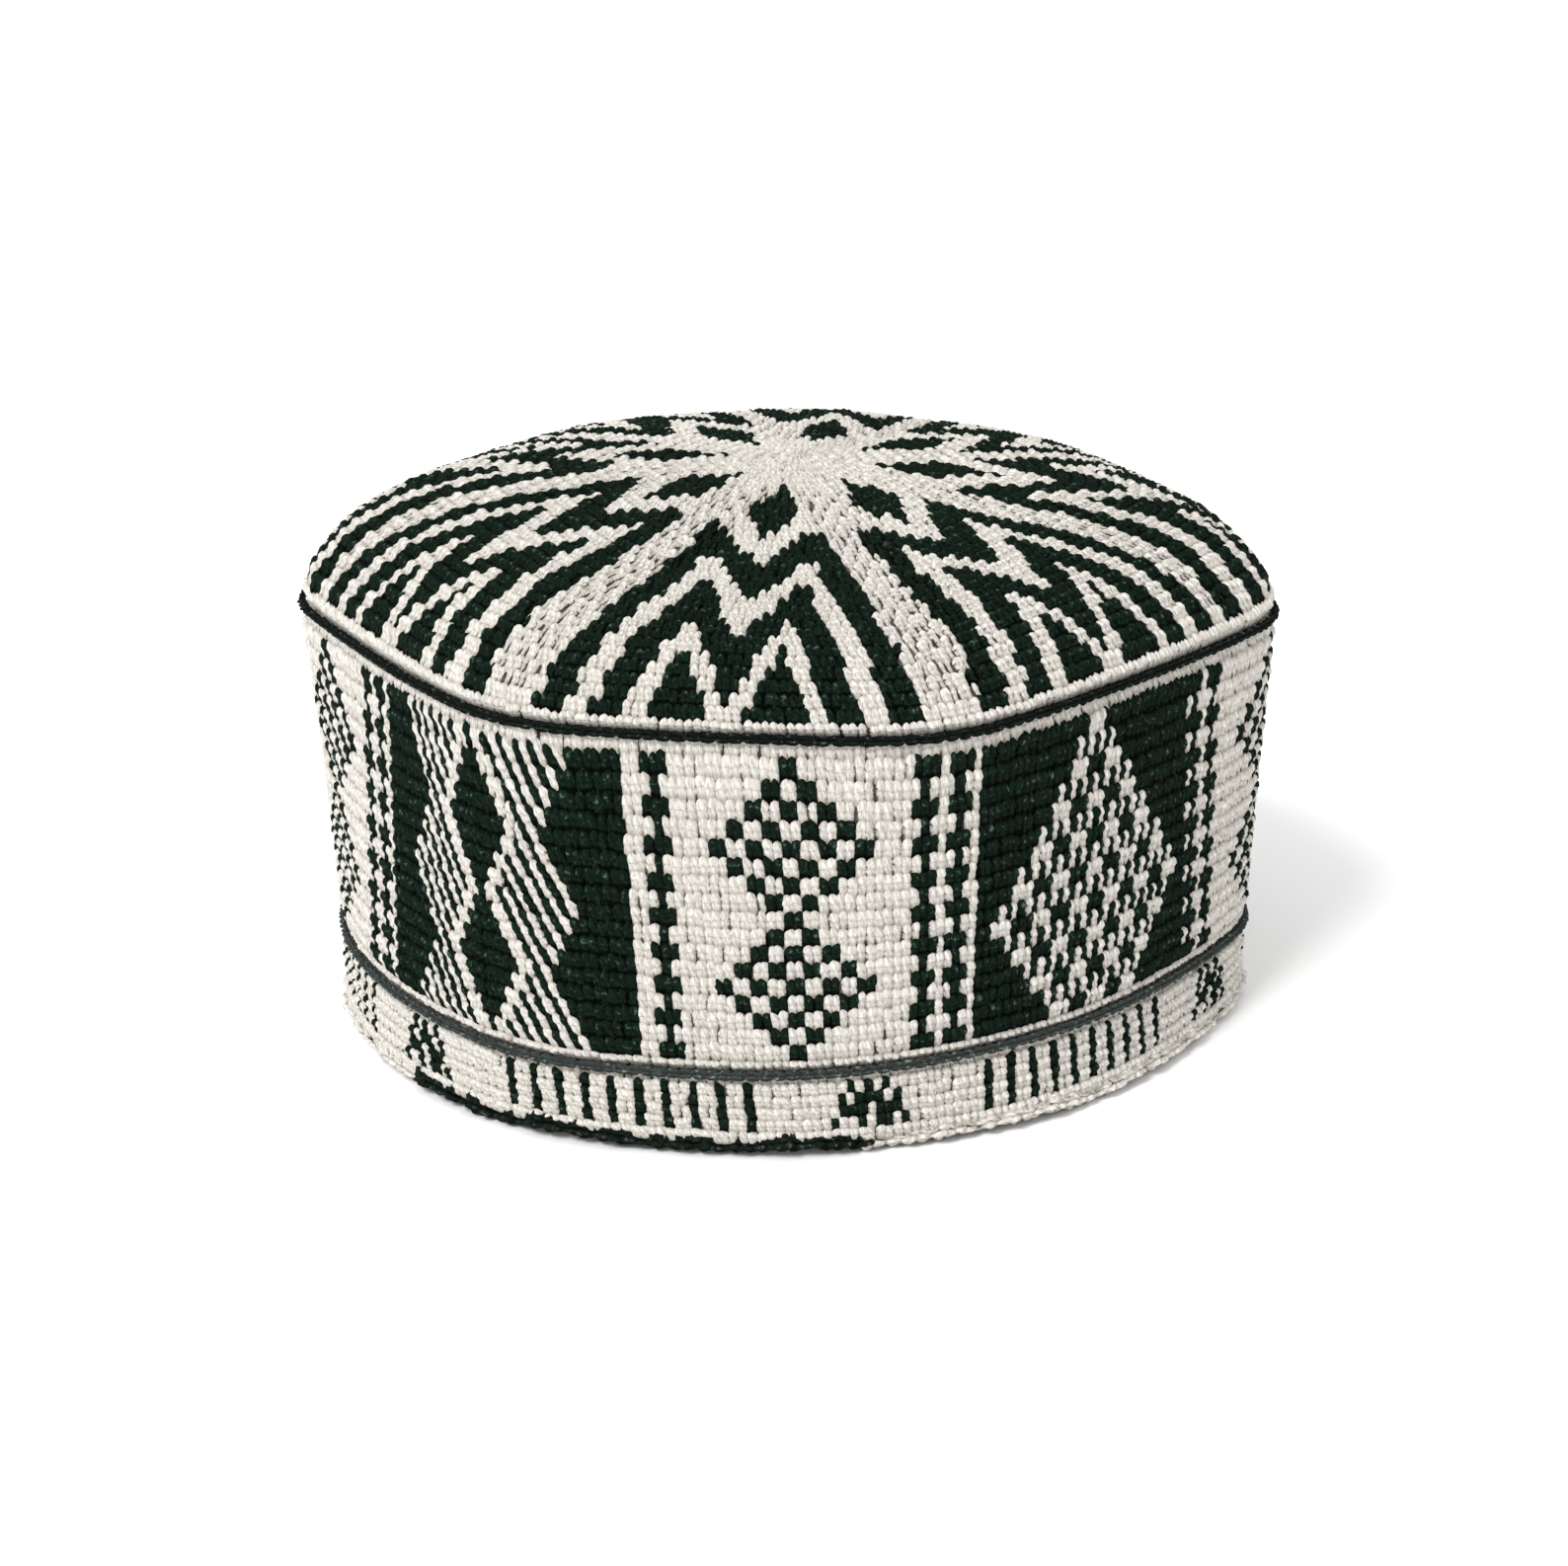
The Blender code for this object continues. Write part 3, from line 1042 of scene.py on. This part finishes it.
class WorkCords(bpy.types.Operator):
    """Works the two raised cords over the seams"""

    bl_idname = "kufi.cords"
    bl_label = "Cords"

    def execute(self, context):
        radius = context.scene.kufi_sizes.cord
        _, _, dark, grey = yarns()
        loops = Loops(relief=0.00045, sink=0.0004, plump=1.25, lean=0, rough=1.0, head=0.22)
        units = tube_units(4, CORD_STITCHES, *CORD_SPAN, CORD_LEANS)
        top = np.full(len(ANGLES), UPPER_SEAM_Z)
        for name, z, share, finish, slot, seed in (
                ("top_cord", top, TOP_CORD_SHARE, dark, "green_cord", 21),
                ("lower_cord", lower_seam(), LOWER_CORD_SHARE, grey, "grey_green_cord", 22)):
            sheet = tube_sheet(wall_radii(ANGLES, z), z, radius * share - CORD_SINK)
            braid(f"{name}_braid", sheet, units, loops, finish, slot, (name,), seed)
        return {"FINISHED"}


def waves(table):
    """A sum of waves round the hat, one value for each of ANGLES."""
    turn = np.radians(ANGLES)
    return sum(size * np.sin(count * turn + shift) for size, count, shift in table)


class WorkHem(bpy.types.Operator):
    """Works the small bumpy edging along the foot"""

    bl_idname = "kufi.hem"
    bl_label = "Hem"

    def execute(self, context):
        cream, _, dark_yarn, _ = yarns()
        # The strand swells and narrows, and wanders up and out, as it goes round
        knots, wander = waves(HEM_KNOTS), waves(HEM_WANDER)
        radius = HEM_RADIUS + 0.00045 * knots
        foot = wall_radii(ANGLES, np.zeros(len(ANGLES)))
        middle = foot - HEM_INSET + 0.0005 * wander + 0.0003 * knots
        z = radius + HEM_RADIUS + 0.0006 * wander
        sheet = tube_sheet(middle, z, radius)
        units = tube_units(4, HEM_STITCHES, *HEM_SPAN, HEM_LEANS)
        angle = (units[:, 0] + 180) % 360 - 180
        dark = (angle > HEM_DARK[0]) & (angle < HEM_DARK[1])
        loops = Loops(relief=0.0005, sink=0.0005, plump=1.3, lean=0, rough=1.8, head=0.22)
        braid("hem_dark", sheet, units[dark], loops, dark_yarn, "hem_yarn", ("hem_edging",), 31)
        braid("hem_cream", sheet, units[~dark], loops, cream, "hem_yarn", (), 32)
        return {"FINISHED"}


class SetStage(bpy.types.Operator):
    """Sets the pale floor, the soft lights and the camera"""

    bl_idname = "kufi.stage"
    bl_label = "Stage"

    def execute(self, context):
        scene = context.scene
        data = bpy.data.meshes.new("floor")
        corners = [(x * FLOOR_REACH, y * FLOOR_REACH, 0) for x, y in ((-1, -1), (1, -1), (1, 1), (-1, 1))]
        data.from_pydata(corners, [], [(0, 1, 2, 3)])
        data.materials.append(floor_look())
        floor = bpy.data.objects.new("floor", data)
        scene.collection.objects.link(floor)
        middle = Vector((*CENTRE, UPPER_SEAM_Z))
        for name, place, strength, softness in LAMPS:
            light = bpy.data.lights.new(name, "SUN")
            light.energy, light.angle = strength, radians(softness)
            lamp = bpy.data.objects.new(name, light)
            lamp.location = place
            lamp.rotation_euler = (middle - lamp.location).to_track_quat("-Z", "Y").to_euler()
            scene.collection.objects.link(lamp)
        world = bpy.data.worlds.new("studio")
        world.use_nodes = True
        sky = world.node_tree.nodes["Background"]
        sky.inputs["Color"].default_value = (1.0, 1.0, 1.0, 1)
        sky.inputs["Strength"].default_value = SKY_STRENGTH
        scene.world = world
        scene.view_settings.view_transform = "Standard"
        sizes = scene.kufi_sizes
        lens = bpy.data.cameras.new("camera")
        lens.sensor_width, lens.lens = SENSOR, LENS
        lens.clip_start, lens.clip_end = 0.01, 50
        camera = bpy.data.objects.new("camera", lens)
        lift = sizes.camera_lift
        camera.location = middle + sizes.camera_distance * Vector((0, -cos(lift), sin(lift)))
        # The seam's middle stands above and left of the picture's middle
        pitch = lift + (PICTURE_MIDDLE[1] - SEAM_MIDDLE[1]) / LENS_PIXELS
        yaw = -(PICTURE_MIDDLE[0] - SEAM_MIDDLE[0]) / LENS_PIXELS
        camera.rotation_euler = (pi / 2 - pitch, 0, yaw)
        scene.collection.objects.link(camera)
        scene.camera = camera
        return {"FINISHED"}


class KufiPanel(bpy.types.Panel):
    """Lists the steps of the work"""

    bl_idname = "VIEW3D_PT_kufi"
    bl_label = "Kufi"
    bl_space_type = "VIEW_3D"
    bl_region_type = "UI"
    bl_category = "Kufi"

    def draw(self, context):
        for name in KufiYarns.__annotations__:
            self.layout.prop(context.scene.kufi_yarns, name)
        for name in KufiSizes.__annotations__:
            self.layout.prop(context.scene.kufi_sizes, name)
        for step in STEPS:
            self.layout.operator(step.bl_idname)


STEPS = (SetStage, WorkCrown, WorkSide, WorkRim, WorkCords, WorkHem)
CLASSES = (KufiYarns, KufiSizes, *STEPS, KufiPanel)


def register():
    for made in CLASSES:
        bpy.utils.register_class(made)
    bpy.types.Scene.kufi_yarns = bpy.props.PointerProperty(type=KufiYarns)
    bpy.types.Scene.kufi_sizes = bpy.props.PointerProperty(type=KufiSizes)


def unregister():
    del bpy.types.Scene.kufi_sizes
    del bpy.types.Scene.kufi_yarns
    for made in reversed(CLASSES):
        bpy.utils.unregister_class(made)


def main():
    register()
    for step in STEPS:
        area, name = step.bl_idname.split(".")
        getattr(getattr(bpy.ops, area), name)()


if __name__ == "__main__":
    main()
